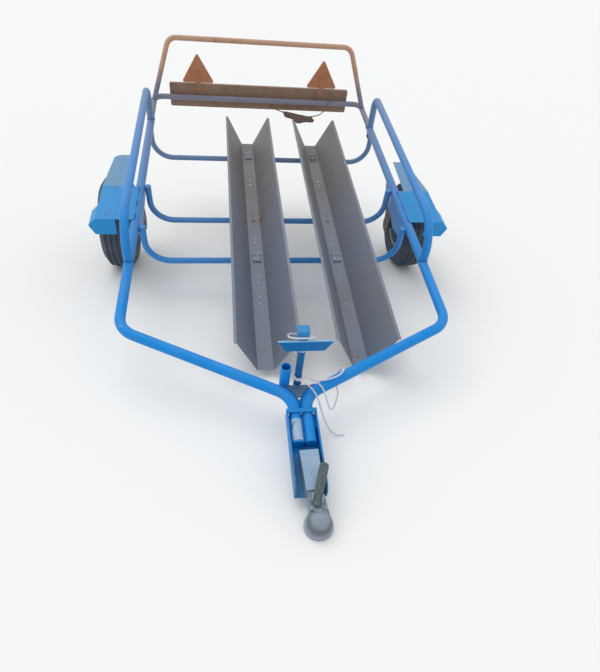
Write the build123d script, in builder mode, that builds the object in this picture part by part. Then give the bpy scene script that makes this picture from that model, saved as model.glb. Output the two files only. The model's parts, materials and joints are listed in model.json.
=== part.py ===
from build123d import *
import os
from math import asin, atan, atan2, cos, degrees, hypot, radians, sin, sqrt, tan

# Motorcycle trailer: a tube frame with an A-shaped drawbar, two folded wheel channels on dropped
# cross tubes, a handrail on each side, and a lamp frame that slides in the rear ends of the frame.
# It is drawn level and then tipped nose-down about its wheels, as it parks on its coupling.
# In the level frame X is across (left is -X), Y runs to the rear and Z is up. Z = 0 is the
# centre plane of the main tubes and Y = 0 is just behind the side rails' rear legs.

# Main tubes and drawbar
main_d = 38.0
main_half_width = 600.0
main_rear_y = 25.0
corner_y = -1495.0
corner_radius = 100.0
drawbar_reach = 317.0
nose_bend_radius = 88.0
nose_tube_gap = 2.0
parallel_run = 175.0

# Side rails
rail_d = 34.0
rail_height = 177.0
rail_front_y = -1145.0
rail_rear_y = -6.0
rail_front_radius = 140.0
rail_rear_radius = 55.0

# Dropped cross tubes
cross_d = 27.0
cross_drop = 180.0
cross_radius = 105.0
cross_front_y = -923.0
cross_middle_y = -624.0
cross_rear_y = -55.0
weld_gap = 0.3

# Wheel channels
channel_length = 1650.0
channel_front_y = -1565.0
channel_bottom_width = 65.0
channel_top_width = 222.0
channel_lip = 9.0
channel_height = 160.0
channel_sheet = 3.0
channel_left_x = -83.5
channel_right_x = 286.0
channel_bolt_d = 10.0
channel_bolt_pitch = 42.0
spare_hole_rows = (-1195.0, -1062.0, -793.0, -309.0)

# Wheels, hangers and stub axles
wheel_offset = 122.0
axle_y = -603.0
axle_z = -210.0
tyre_radius = 212.0
tyre_width = 135.0
tyre_shoulder = 20.0
tyre_crown = 5.0
tyre_bulge = 22.0
rim_seat_radius = 101.5
rim_width = 112.0
rim_flange = 14.0
rim_sheet = 3.5
disc_offset = 10.0
disc_dish = 16.0
hub_radius = 34.0
hub_flange_radius = 64.0
hub_flange = 8.0
hub_inner = 42.0
hub_outer = 40.0
hub_cap_radius = 25.0
hub_cap_length = 14.0
hub_chamfer = 4.0
spindle_d = 25.0
spindle_play = 0.4
hanger_sheet = 8.0
hanger_length = 370.0
hanger_ahead = 72.0
hanger_corner = 18.0
hanger_depth = 76.0
hanger_belly = 118.0
arm_sheet = 10.0
arm_top_radius = 30.0
arm_foot_radius = 38.0
arm_rise = 122.0

# Fenders
fender_sheet = 2.0
fender_clearance = 17.5
fender_front = 292.0
fender_bend = 47.0
fender_rear = 331.0
fender_rear_drop = 68.0
fender_rear_gap = 87.0
fender_bend_gap = 34.0
fender_face_drop = 65.0
fender_face_lean = 14.0
fender_reach = 158.0
fender_face_width = 80.0
fender_corner_radius = 45.0
skirt_flare = 28.0
skirt_length = 100.0
skirt_corner_inset = 22.0

# Cradle and coupling
cradle_lap = 114.0
cradle_reach = 159.0
cradle_wall = 5.0
cradle_play = 4.0
cradle_lip = 2.0
cradle_strap = 14.0
coupling_x = 5.0
coupling_turn = 2.2
coupling_gap = 34.0
coupling_body_length = 123.0
coupling_body_width = 56.0
coupling_front_width = 52.0
coupling_body_top = 27.0
coupling_front_top = 22.0
coupling_sheet = 4.0
neck_length = 84.0
neck_tongue = 40.0
neck_lift = 2.0
ball_d = 50.0
ball_play = 0.5
ball_z = -8.0
head_radius = 36.0
head_rim_z = -30.0
head_rim = 5.8
head_rim_height = 6.0
pin_ahead = 30.0
lever_width = 23.0
lever_tip_width = 15.0
lever_sheet = 5.0
lever_front = 24.0
lever_rear = 96.0
lever_rise = 20.0
lever_turn = 20.2
ear_sheet = 5.0
ear_size = 22.0
pin_d = 8.0

# Web between the drawbar tubes, front post with its plate, and the empty jockey sleeve
web_rear_y = -1760.0
web_sheet = 5.0
web_nose = 12.0
web_hole_d = 10.0
web_hole_ahead = 52.0
post_d = 24.0
post_height = 235.0
plate_x = 7.0
plate_top_z = 231.0
plate_width = 172.0
plate_bottom_width = 120.0
plate_height = 46.0
plate_sheet = 4.0
post_block_x = -3.0
post_block_width = 36.0
post_block_depth = 28.0
post_block_height = 34.0
post_block_corner = 4.0
sleeve_d = 34.0
sleeve_wall = 3.0
sleeve_x = -43.0
sleeve_height = 90.0

# Sliding lamp frame
lamp_tube_d = 30.0
slide_play = 0.8
slide_bore_depth = 340.0
slide_length = 300.0
crossbar_y = 290.0
crossbar_radius = 46.0
hoop_d = 27.0
hoop_lean = 98.0
hoop_height = 300.0
hoop_taper = 100.0
hoop_radius = 55.0
board_length = 1030.0
board_height = 130.0
board_thickness = 16.0
board_corner = 10.0
board_rise = 6.0
triangle_side = 180.0
triangle_inset = 161.0
triangle_thickness = 9.0
triangle_corner = 8.0
triangle_lift = 8.0
tab_width = 28.0
tab_sheet = 3.0
lamp_length = 215.0
lamp_height = 95.0
lamp_depth = 42.0
lamp_corner = 8.0
lamp_edge = 6.0
lamp_inset = 25.0
lock_boss_d = 18.0
lock_boss = 12.0
lock_bolt_d = 10.0
lock_bolt = 30.0
lock_bar_d = 8.0
lock_bar = 38.0

# Loose cord at the front post and the lamps' cable with its hank below the board
cord_d = 5.0
cable_d = 6.0
hank_x = 232.0
hank_y = 281.0
hank_z = -95.0
hank_half_width = 95.0
hank_half_height = 37.0
hank_depth = 36.0
hank_tilt = 8.0
hank_edge = 12.0

wheel_centre_x = main_half_width + wheel_offset
fender_outer_x = main_half_width + fender_reach
hoop_top_half_width = main_half_width - hoop_taper
main_r = main_d / 2
rail_r = rail_d / 2
cross_r = cross_d / 2
sides = [("left", -1), ("right", 1)]
pieces = []


def finish(node, part):
    """Name a finished piece and keep it for export."""
    part.label = node
    pieces.append(part)


def bent_tube(points, radii, diameter):
    """A round tube along straight runs joined by arcs."""
    with BuildPart() as tube:
        with BuildLine() as route:
            FilletPolyline(*points, radius=radii)
        with BuildSketch(Plane(origin=route.line @ 0, z_dir=route.line % 0)):
            Circle(diameter / 2)
        sweep()
    return tube.part


def across(x, y=0.0, z=0.0):
    """A plane that looks along X, with Y to its right and Z up."""
    return Plane(origin=(x, y, z), x_dir=(0, 1, 0), z_dir=(1, 0, 0))


def facing_rear(y, x=0.0, z=0.0):
    """A plane whose normal points to the front, with X to its right and Z up."""
    return Plane(origin=(x, y, z), x_dir=(1, 0, 0), z_dir=(0, -1, 0))


# Main tubes: rear bore for the lamp frame, corner bend, drawbar run, short parallel run
run_x = main_r + nose_tube_gap / 2
drawbar_slope = drawbar_reach / main_half_width
drawbar_angle = atan(drawbar_slope)
meet_y = corner_y - drawbar_slope * (main_half_width - run_x)
tube_end_y = meet_y - parallel_run
slide_bore_r = lamp_tube_d / 2 + slide_play

for side, s in sides:
    with BuildPart() as main_tube:
        add(bent_tube([(s * main_half_width, main_rear_y, 0), (s * main_half_width, corner_y, 0),
                       (s * run_x, meet_y, 0), (s * run_x, tube_end_y, 0)],
                      [corner_radius, nose_bend_radius], main_d))
        with BuildSketch(facing_rear(main_rear_y, s * main_half_width)):
            Circle(slide_bore_r)
        extrude(amount=slide_bore_depth, mode=Mode.SUBTRACT)
    finish(f"main_tube_{side}", main_tube.part)

# Side rails: feet cut to saddle on the main tubes
for side, s in sides:
    x = s * main_half_width
    with BuildPart() as side_rail:
        add(bent_tube([(x, rail_front_y, 0), (x, rail_front_y, rail_height),
                       (x, rail_rear_y, rail_height), (x, rail_rear_y, 0)],
                      [rail_front_radius, rail_rear_radius], rail_d))
        with BuildSketch(facing_rear(rail_rear_y + rail_d, x)):
            Circle(main_r + weld_gap)
        extrude(amount=rail_rear_y - rail_front_y + 2 * rail_d, mode=Mode.SUBTRACT)
    finish(f"side_rail_{side}", side_rail.part)

# Cross tubes: the front two stand inside the main tubes, the rear one hangs below their ends
inside_x = main_half_width - main_r - cross_r - weld_gap
cross_tubes = [
    # node, y, half width, top of the legs
    ("cross_tube_front", cross_front_y, inside_x, cross_r / 2),
    ("cross_tube_middle", cross_middle_y, inside_x, cross_r / 2),
    ("cross_tube_rear", cross_rear_y, main_half_width, 0),
]
for node, y, half_width, top in cross_tubes:
    with BuildPart() as cross_tube:
        add(bent_tube([(-half_width, y, top), (-half_width, y, -cross_drop),
                       (half_width, y, -cross_drop), (half_width, y, top)],
                      [cross_radius, cross_radius], cross_d))
        if half_width == main_half_width:
            for _, s in sides:
                with BuildSketch(facing_rear(y + cross_d, s * half_width)):
                    Circle(main_r + weld_gap)
                extrude(amount=2 * cross_d, mode=Mode.SUBTRACT)
    finish(node, cross_tube.part)

# Wheel channels: one folded sheet each, bolted to the cross tubes through pairs of holes
channel_floor_z = -cross_drop + cross_r + weld_gap
half_bottom = channel_bottom_width / 2
half_top = channel_top_width / 2
for side, channel_x in (("left", channel_left_x), ("right", channel_right_x)):
    with BuildPart() as channel:
        with BuildSketch(facing_rear(channel_front_y, channel_x, channel_floor_z)):
            with BuildLine():
                Polyline((-half_top - channel_lip, channel_height), (-half_top, channel_height),
                         (-half_bottom, 0), (half_bottom, 0),
                         (half_top, channel_height), (half_top + channel_lip, channel_height))
                offset(amount=channel_sheet, side=Side.LEFT)
            make_face()
        extrude(amount=-channel_length)
        for row_y in (cross_front_y, cross_middle_y, cross_rear_y, *spare_hole_rows):
            with Locations(*[(channel_x, row_y + step * channel_bolt_pitch, channel_floor_z)
                             for step in (-0.5, 0.5)]):
                Cylinder(channel_bolt_d / 2, 4 * channel_sheet, mode=Mode.SUBTRACT)
    finish(f"wheel_channel_{side}", channel.part)

# Fenders: a folded sheet with a leaning front face, a flat top, a falling rear and a flared skirt
fender_z = axle_z + tyre_radius + fender_clearance
fender_front_y = axle_y - fender_front
fender_bend_y = axle_y - fender_bend
fender_rear_y = axle_y + fender_rear
face_inner_x = fender_outer_x - fender_face_width
face_length = hypot(fender_face_drop, fender_face_lean)
for side, s in sides:
    face_plane = Plane(origin=(0, fender_front_y, fender_z), x_dir=(1, 0, 0),
                       z_dir=(0, -fender_face_drop, fender_face_lean))
    with BuildPart() as fender:
        with BuildSketch(across(s * main_half_width)):
            with BuildLine():
                Polyline((fender_front_y, fender_z), (fender_bend_y, fender_z),
                         (fender_rear_y, fender_z - fender_rear_drop))
                offset(amount=fender_sheet, side=Side.LEFT)
            make_face()
        extrude(amount=s * (fender_outer_x - main_half_width))
        # The inner edge is cut to the tube that carries it, and stands off it behind the bend
        with BuildSketch(facing_rear(fender_rear_y + fender_sheet, s * main_half_width)):
            Circle(main_r + weld_gap)
            with Locations((0, -main_r)):
                Rectangle(main_d, main_d)
        extrude(amount=2 * fender_rear + 2 * fender_front, mode=Mode.SUBTRACT)
        with BuildSketch(Plane(origin=(0, 0, fender_z - 2 * fender_rear_drop))):
            with BuildLine():
                Polyline((s * (main_half_width - main_r), fender_bend_y),
                         (s * (main_half_width + fender_bend_gap), fender_bend_y),
                         (s * (main_half_width + fender_rear_gap), fender_rear_y + fender_sheet),
                         (s * (main_half_width - main_r), fender_rear_y + fender_sheet), close=True)
            make_face()
        extrude(amount=4 * fender_rear_drop, mode=Mode.SUBTRACT)
        corner = (fender.edges().filter_by(lambda e: e.length < 1.5 * fender_sheet)
                  .group_by(Axis.Y)[-1].sort_by(Axis.X)[-1 if s > 0 else 0])
        fillet(corner, fender_corner_radius)
        # Front face over the outer part only: it also closes the skirt's end
        with BuildSketch(face_plane):
            with BuildLine():
                Polyline((s * face_inner_x, fender_sheet), (s * fender_outer_x, fender_sheet),
                         (s * (fender_outer_x + skirt_flare + fender_sheet), -skirt_flare),
                         (s * (fender_outer_x + skirt_flare - skirt_corner_inset), -face_length),
                         (s * face_inner_x, -face_length), close=True)
            make_face()
        extrude(amount=fender_sheet)
        # Skirt along the front of the outer edge
        with BuildSketch(face_plane):
            with BuildLine():
                Polyline((s * (fender_outer_x - 2 * fender_sheet), 0), (s * fender_outer_x, 0),
                         (s * (fender_outer_x + skirt_flare), -skirt_flare))
                offset(amount=fender_sheet, side=Side.LEFT if s > 0 else Side.RIGHT)
            make_face()
        extrude(amount=skirt_length, dir=(0, 1, 0))
    finish(f"fender_{side}", fender.part)

# Wheel hangers, each a shallow plate below the main tube, and stub axles on short arms behind
# them: the wheels have no springs
stub_root_r = 0.8 * spindle_d
hub_inner_x = wheel_centre_x - hub_inner
hanger_top_z = -main_r - weld_gap
for side, s in sides:
    with BuildPart() as hanger:
        with BuildSketch(across(s * (main_half_width - hanger_sheet / 2), axle_y - hanger_ahead, hanger_top_z)):
            with BuildLine():
                Polyline((-hanger_length / 2, 0), (hanger_length / 2, 0), (hanger_length / 2, -hanger_corner),
                         (0.4 * hanger_length, -hanger_depth), (0, -hanger_depth - hanger_corner),
                         (-0.15 * hanger_length, -hanger_belly), (-0.4 * hanger_length, -hanger_depth - hanger_corner),
                         (-hanger_length / 2, -hanger_depth + hanger_corner), close=True)
            make_face()
        extrude(amount=s * hanger_sheet)
    finish(f"wheel_hanger_{side}", hanger.part)

    arm_x = main_half_width + hanger_sheet / 2 + weld_gap
    with BuildPart() as stub_axle:
        with BuildSketch(across(s * arm_x, axle_y, axle_z)):
            Circle(arm_foot_radius)
            with Locations((-hanger_corner, arm_rise)):
                Circle(arm_top_radius)
            make_hull()
        extrude(amount=s * arm_sheet)
        with BuildSketch(across(s * arm_x, axle_y, axle_z)):
            Circle(stub_root_r)
        extrude(amount=s * (hub_inner_x - arm_x - 1))
        with BuildSketch(across(s * arm_x, axle_y, axle_z)):
            Circle(spindle_d / 2)
        extrude(amount=s * (wheel_centre_x + hub_outer / 2 - arm_x))
    finish(f"stub_axle_{side}", stub_axle.part)

# Wheels: tyre, rim with a dished disc, and hub
bead_half = rim_width / 2 - rim_sheet - weld_gap
wall_r = (rim_seat_radius + tyre_radius) / 2
half_profile = [
    # distance from the tyre's middle, radius
    (bead_half, rim_seat_radius + weld_gap),
    (bead_half, rim_seat_radius + rim_flange + rim_sheet),
    (tyre_width / 2, wall_r - tyre_bulge / 4),
    (tyre_width / 2, wall_r + tyre_bulge),
    (tyre_width / 2 - tyre_shoulder / 2, tyre_radius - tyre_shoulder),
    (tyre_width / 2 - tyre_shoulder, tyre_radius - tyre_crown),
    (tyre_width / 4, tyre_radius),
]
disc_x = disc_offset + disc_dish
for side, s in sides:
    wheel_plane = facing_rear(axle_y, s * wheel_centre_x, axle_z)
    axle_line = Axis((0, axle_y, axle_z), (1, 0, 0))

    with BuildPart() as tyre:
        with BuildSketch(wheel_plane):
            with BuildLine():
                Polyline(*half_profile, *[(-across_tyre, r) for across_tyre, r in reversed(half_profile)], close=True)
            make_face()
        revolve(axis=axle_line)
    finish(f"tyre_{side}", tyre.part)

    with BuildPart() as rim:
        with BuildSketch(wheel_plane):
            with BuildLine():
                Polyline((-rim_width / 2, rim_seat_radius + rim_flange), (-rim_width / 2, rim_seat_radius - rim_sheet),
                         (rim_width / 2, rim_seat_radius - rim_sheet), (rim_width / 2, rim_seat_radius + rim_flange))
                offset(amount=rim_sheet, side=Side.LEFT)
            make_face()
            with BuildLine():
                Polyline((s * disc_x, rim_seat_radius - rim_sheet / 2), (s * disc_x, hub_flange_radius + disc_dish),
                         (s * disc_offset, hub_flange_radius), (s * disc_offset, hub_radius + weld_gap))
                offset(amount=rim_sheet, side=Side.LEFT)
            make_face()
        revolve(axis=axle_line)
    finish(f"rim_{side}", rim.part)

    with BuildPart() as hub:
        flange_x = disc_offset - (0 if s > 0 else rim_sheet)
        with BuildSketch(wheel_plane):
            with BuildLine():
                Polyline((-s * hub_inner, 0), (-s * hub_inner, hub_radius),
                         (s * (flange_x - hub_flange), hub_radius), (s * (flange_x - hub_flange), hub_flange_radius),
                         (s * flange_x, hub_flange_radius), (s * flange_x, hub_radius),
                         (s * hub_outer, hub_radius - hub_chamfer), (s * hub_outer, hub_cap_radius),
                         (s * (hub_outer + hub_cap_length), hub_cap_radius - hub_chamfer),
                         (s * (hub_outer + hub_cap_length), 0), close=True)
            make_face()
        revolve(axis=axle_line)
        with BuildSketch(across(s * (wheel_centre_x - hub_inner), axle_y, axle_z)):
            Circle(spindle_d / 2 + spindle_play)
        extrude(amount=s * (hub_inner + hub_outer / 2 + 2), mode=Mode.SUBTRACT)
    finish(f"hub_{side}", hub.part)

# Cradle: a channel round the two tube ends, with a strap over them and open cheeks ahead of them
cradle_rear_y = tube_end_y + cradle_lap
cradle_inner = run_x + main_r + cradle_play
cradle_floor_z = -main_r - weld_gap
with BuildPart() as cradle:
    with BuildSketch(facing_rear(cradle_rear_y)):
        with BuildLine():
            Polyline((-cradle_inner, main_r + cradle_lip), (-cradle_inner, cradle_floor_z),
                     (cradle_inner, cradle_floor_z), (cradle_inner, main_r + cradle_lip))
            offset(amount=cradle_wall, side=Side.RIGHT, kind=Kind.INTERSECTION)
        make_face()
    extrude(amount=cradle_lap + cradle_reach)
    with BuildSketch(facing_rear(cradle_rear_y)):
        with Locations((0, main_r + weld_gap + cradle_wall / 2)):
            Rectangle(2 * cradle_inner + 2 * cradle_wall, cradle_wall)
    extrude(amount=cradle_strap)
    cheek_ends = (cradle.edges().filter_by(Axis.X).group_by(Axis.Y)[0].group_by(Axis.Z)[-1])
    chamfer(cheek_ends, cradle_wall * 3)
finish("drawbar_cradle", cradle.part)

# Coupling body: a pressed, tapering hood that stands on the cradle floor
body_rear_y = tube_end_y - coupling_gap
body_front_y = body_rear_y - coupling_body_length
coupling_place = (Location((coupling_x, body_rear_y, 0), (0, 0, coupling_turn)) * Location((0, -body_rear_y, 0)))
hood_sections = [
    # distance ahead of the rear end, outer width, top height
    (0, coupling_body_width, coupling_body_top),
    (coupling_body_length, coupling_front_width, coupling_front_top),
]
with BuildPart() as coupling_body:
    for wall, mode in ((0, Mode.ADD), (coupling_sheet, Mode.SUBTRACT)):
        for ahead, width, top in hood_sections:
            with BuildSketch(facing_rear(body_rear_y - ahead)):
                with Locations((0, cradle_floor_z + weld_gap)):
                    Rectangle(width - 2 * wall, top - wall - cradle_floor_z, align=(Align.CENTER, Align.MIN))
        loft(mode=mode)
finish("coupling_body", coupling_body.part.moved(coupling_place))

# Coupling head: a cast dome over the ball socket, with a neck that enters the hood
ball_y = body_front_y - neck_length
ball_r = ball_d / 2 + ball_play
tongue_half = coupling_front_width / 2 - coupling_sheet - weld_gap
shoulder_half = 0.8 * head_radius
neck_bottom_z = cradle_floor_z + neck_lift
neck_top = coupling_front_top - coupling_sheet - weld_gap
pin_y = body_front_y - pin_ahead
pin_z = neck_top + ear_size / 2 + weld_gap
with BuildPart() as coupling_head:
    with BuildSketch(Plane(origin=(0, 0, neck_bottom_z))):
        with BuildLine():
            Polyline((-tongue_half, body_front_y + neck_tongue), (-tongue_half, body_front_y),
                     (-shoulder_half, ball_y), (shoulder_half, ball_y),
                     (tongue_half, body_front_y), (tongue_half, body_front_y + neck_tongue), close=True)
        make_face()
    extrude(amount=neck_top - neck_bottom_z)
    with BuildSketch(across(0, ball_y)):
        with BuildLine():
            rim_top_z = head_rim_z + head_rim_height
            Polyline((0, head_rim_z), (head_radius + head_rim, head_rim_z), (head_radius + head_rim, rim_top_z),
                     (head_radius, rim_top_z + head_rim), (head_radius, ball_z))
            RadiusArc((head_radius, ball_z), (0, ball_z + head_radius), -head_radius)
            Line((0, ball_z + head_radius), (0, head_rim_z))
        make_face()
    revolve(axis=Axis((0, ball_y, 0), (0, 0, 1)))
    with Locations(Location((0, pin_y, neck_top), (0, 0, -lever_turn))):
        with Locations(*[(s * (lever_width / 2 + weld_gap + ear_sheet / 2), 0, 0) for _, s in sides]):
            Box(ear_sheet, ear_size, ear_size, align=(Align.CENTER, Align.CENTER, Align.MIN))
    with Locations((0, ball_y, ball_z)):
        Sphere(ball_r, mode=Mode.SUBTRACT)
    with Locations((0, ball_y, head_rim_z)):
        Cylinder(ball_r, ball_z - head_rim_z, align=(Align.CENTER, Align.CENTER, Align.MIN), mode=Mode.SUBTRACT)
    with Locations(Location((0, pin_y, pin_z), (0, 0, -lever_turn))):
        Cylinder(pin_d / 2 + weld_gap, 2 * lever_width, rotation=(0, 90, 0), mode=Mode.SUBTRACT)
finish("coupling_head", coupling_head.part.moved(coupling_place))

# Coupling lever: a folded, tapering strip with rounded ends, turned a little to the right, on a pin between the ears
turn = radians(lever_turn)
lever_plane = Plane(origin=(0, pin_y, pin_z), x_dir=(sin(turn), cos(turn), 0),
                    z_dir=(cos(turn), -sin(turn), 0))
with BuildPart() as coupling_lever:
    with BuildSketch(lever_plane):
        with BuildLine():
            Polyline((-lever_front, 0), (pin_d, 0), (lever_rear, lever_rise))
            offset(amount=lever_sheet, side=Side.LEFT)
        make_face()
    extrude(amount=lever_width / 2, both=True)
    with BuildSketch(Plane(origin=(0, pin_y, 0), x_dir=(sin(turn), cos(turn), 0), z_dir=(0, 0, 1))):
        with Locations((lever_width / 2 - lever_front, 0)):
            Circle(lever_width / 2)
        with Locations((lever_rear - lever_tip_width / 2, 0)):
            Circle(lever_tip_width / 2)
        make_hull()
    extrude(amount=pin_z + 2 * lever_rise, mode=Mode.INTERSECT)
    with BuildSketch(lever_plane):
        Circle(0.8 * pin_d)
    extrude(amount=lever_width / 2, both=True)
    with BuildSketch(lever_plane):
        Circle(pin_d / 2)
    extrude(amount=lever_width / 2 + ear_sheet + 1, both=True)
finish("coupling_lever", coupling_lever.part.moved(coupling_place))

# Jockey sleeve: an empty clamp tube against the left drawbar tube
sleeve_line_y = corner_y - drawbar_slope * (main_half_width + sleeve_x)
sleeve_y = sleeve_line_y + (main_r + sleeve_d / 2 + weld_gap) / cos(drawbar_angle)
with BuildPart() as jockey_sleeve:
    with BuildSketch(Plane(origin=(sleeve_x, sleeve_y, -main_r))):
        Circle(sleeve_d / 2)
        Circle(sleeve_d / 2 - sleeve_wall, mode=Mode.SUBTRACT)
    extrude(amount=main_r + sleeve_height)
finish("jockey_sleeve", jockey_sleeve.part)

# Web plate between the two nose bends
bend_tangent = nose_bend_radius * (sqrt(1 + drawbar_slope ** 2) - drawbar_slope)
bend_centre_y = meet_y - bend_tangent
web_half = main_half_width - (corner_y - web_rear_y) / drawbar_slope
with BuildPart() as drawbar_web:
    with BuildSketch(Plane.XY):
        with BuildLine():
            Polyline((-web_half, web_rear_y), (web_half, web_rear_y), (run_x, bend_centre_y + web_nose),
                     (-run_x, bend_centre_y + web_nose), close=True)
        make_face()
        with Locations((0, web_rear_y - web_hole_ahead)):
            Circle(web_hole_d / 2, mode=Mode.SUBTRACT)
        with Locations((sleeve_x, sleeve_y)):
            Circle(sleeve_d / 2 + weld_gap, mode=Mode.SUBTRACT)
    extrude(amount=web_sheet)
    for _, s in sides:
        add(bent_tube([(s * main_half_width, corner_y, 0), (s * run_x, meet_y, 0), (s * run_x, tube_end_y, 0)],
                      [nose_bend_radius], main_d + 2 * weld_gap), mode=Mode.SUBTRACT)
finish("drawbar_web", drawbar_web.part)

# Front post: it stands against the web's rear edge and carries a plate and a block
post_y = web_rear_y + post_d / 2 + weld_gap
with BuildPart() as front_post:
    with BuildSketch(Plane(origin=(0, post_y, -main_r))):
        Circle(post_d / 2)
    extrude(amount=main_r + post_height)
finish("front_post", front_post.part)

plate_y = post_y - post_d / 2 - weld_gap
with BuildPart() as front_plate:
    with BuildSketch(facing_rear(plate_y, plate_x, plate_top_z)):
        with BuildLine():
            Polyline((-plate_width / 2, 0), (plate_width / 2, 0), (plate_bottom_width / 2, -plate_height),
                     (-plate_bottom_width / 2, -plate_height), close=True)
        make_face()
    extrude(amount=plate_sheet)
finish("front_plate", front_plate.part)

with BuildPart() as post_block:
    with BuildSketch(Plane(origin=(post_block_x, post_y, post_height + weld_gap))):
        RectangleRounded(post_block_width, post_block_depth, post_block_corner)
    extrude(amount=post_block_height)
finish("post_block", post_block.part)

# Lamp frame: a U of tube in the bores of the main tubes, with a tapered hoop over it
lamp_tube_r = lamp_tube_d / 2
slide_front_y = main_rear_y - slide_length
lamp_frame_tube = bent_tube([(-main_half_width, slide_front_y, 0), (-main_half_width, crossbar_y, 0),
                             (main_half_width, crossbar_y, 0), (main_half_width, slide_front_y, 0)],
                            [crossbar_radius, crossbar_radius], lamp_tube_d)
finish("lamp_frame_tube", lamp_frame_tube)

hoop_foot_y = crossbar_y - crossbar_radius - hoop_d / 2
hoop_top_y = hoop_foot_y + hoop_lean
with BuildPart() as rear_hoop:
    add(bent_tube([(-main_half_width, hoop_foot_y, 0), (-hoop_top_half_width, hoop_top_y, hoop_height),
                   (hoop_top_half_width, hoop_top_y, hoop_height), (main_half_width, hoop_foot_y, 0)],
                  [hoop_radius, hoop_radius], hoop_d))
    for _, s in sides:
        with BuildSketch(facing_rear(hoop_foot_y + hoop_d, s * main_half_width)):
            Circle(lamp_tube_r + weld_gap)
            with Locations((0, -lamp_tube_r)):
                Rectangle(2 * lamp_tube_d, 2 * lamp_tube_r)
        extrude(amount=2 * hoop_d, mode=Mode.SUBTRACT)
finish("rear_hoop", rear_hoop.part)

# Lamp board with two rear lamps and two triangular reflectors
board_front_y = crossbar_y + lamp_tube_r + weld_gap
board_rear_y = board_front_y + board_thickness
board_top_z = board_rise + board_height / 2
with BuildPart() as lamp_board:
    with BuildSketch(facing_rear(board_front_y)):
        with Locations((0, board_rise)):
            RectangleRounded(board_length, board_height, board_corner)
    extrude(amount=-board_thickness)
finish("lamp_board", lamp_board.part)

lamp_x = board_length / 2 - lamp_inset - lamp_length / 2
for side, s in sides:
    with BuildPart() as lamp:
        with BuildSketch(facing_rear(board_rear_y)):
            with Locations((s * lamp_x, board_rise)):
                RectangleRounded(lamp_length, lamp_height, lamp_corner)
        extrude(amount=-lamp_depth)
        fillet(lamp.faces().sort_by(Axis.Y)[-1].edges(), lamp_edge)
    finish(f"rear_lamp_{side}", lamp.part)

    triangle_x = s * (board_length / 2 - triangle_inset)
    triangle_z = board_top_z + triangle_lift
    with BuildPart() as reflector:
        with BuildSketch(facing_rear(board_front_y, triangle_x, triangle_z)) as triangle:
            Triangle(a=triangle_side, b=triangle_side, c=triangle_side, align=(Align.CENTER, Align.MIN))
            fillet(triangle.vertices(), triangle_corner)
        extrude(amount=-triangle_thickness)
        with BuildSketch(facing_rear(board_front_y, triangle_x, triangle_z)):
            with Locations((0, -triangle_lift - board_height / 4)):
                Rectangle(tab_width, triangle_lift + board_height / 4 + triangle_side / 3,
                          align=(Align.CENTER, Align.MIN))
        extrude(amount=tab_sheet)
    finish(f"reflector_{side}", reflector.part)

# Lock screws under the main tubes hold the lamp frame
lock_y = main_rear_y - lock_boss_d
for side, s in sides:
    with BuildPart() as lock_screw:
        with BuildSketch(Plane(origin=(s * main_half_width, lock_y, 0), z_dir=(0, 0, -1))):
            Circle(lock_boss_d / 2)
        extrude(amount=main_r + lock_boss)
        with BuildSketch(facing_rear(lock_y + lock_boss_d, s * main_half_width)):
            Circle(main_r + weld_gap)
        extrude(amount=2 * lock_boss_d, mode=Mode.SUBTRACT)
        with BuildSketch(Plane(origin=(s * main_half_width, lock_y, -main_r - lock_boss / 2), z_dir=(0, 0, -1))):
            Circle(lock_bolt_d / 2)
        extrude(amount=lock_bolt)
        with Locations((s * main_half_width, lock_y, -main_r - lock_boss / 2 - lock_bolt)):
            Cylinder(lock_bar_d / 2, lock_bar, rotation=(90, 0, 0))
    finish(f"lock_screw_{side}", lock_screw.part)



def free_cord(points, diameter):
    """A cord along a route, its arcs as large as the runs beside each point allow."""
    runs = [Vector(*b) - Vector(*a) for a, b in zip(points, points[1:])]
    radii = [0.45 * min(a.length, b.length) / tan(radians(a.get_angle(b)) / 2) for a, b in zip(runs, runs[1:])]
    print("cord radii", [round(radius) for radius in radii])
    return bent_tube(points, radii, diameter)


# Front cord: tied behind the post, once round the block, down behind the post, round its foot and
# over the right drawbar tube, with its end on the ground
post_back_y = post_y + post_d / 2 + weld_gap
front_route = [(0, post_back_y, 197), (0, -1722, 197), (-13, -1711, 202), (-35, -1714, 213), (-48, -1734, 227),
               (-43, -1757, 240), (-22, -1772, 246), (5, -1773, 245), (29, -1759, 238), (38, -1737, 222),
               (33, -1716, 196), (14, -1706, 166), (-6, -1708, 132), (-18, -1718, 99), (-19, -1736, 71),
               (-19, -1752, 57), (-13, -1766, 51), (-1, -1774, 52), (16, -1777, 47), (34, -1787, 34),
               (49, -1804, 25), (62, -1826, 8), (70, -1840, -17), (80, -1848, -49), (92, -1860, -80),
               (108, -1876, -102), (132, -1888, -115.4), (154, -1885, -116.1)]
finish("front_cord", free_cord(front_route, cord_d))

# Cord loop: tied at the post's foot, slack below the right drawbar tube and back over it
loop_route = [(post_d / 2 + weld_gap, post_y, 34), (25, post_y, 34), (43, -1756, 31), (63, -1772, 32),
              (79, -1793, 26), (88, -1813, 8), (96, -1828, -17), (107, -1832, -44), (122, -1814, -62),
              (136, -1786, -60), (146, -1758, -46), (137, -1731, -31), (141, -1708, -15), (153, -1698, 7),
              (161, -1710, 26), (157, -1729, 32), (141, -1743, 29), (117, -1753, 28), (92, -1760, 28),
              (68, -1758, 22), (48, -1750, 14)]
finish("front_cord_loop", free_cord(loop_route, cord_d))

# The lamps' cable leaves the board's front face, hangs in a hank and goes back to the board
with BuildPart() as cable_hank:
    with BuildSketch(facing_rear(hank_y, hank_x, hank_z)):
        Ellipse(hank_half_width, hank_half_height, rotation=-hank_tilt)
    extrude(amount=hank_depth / 2, both=True)
    fillet(cable_hank.edges(), hank_edge)
finish("cable_hank", cable_hank.part)

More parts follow.
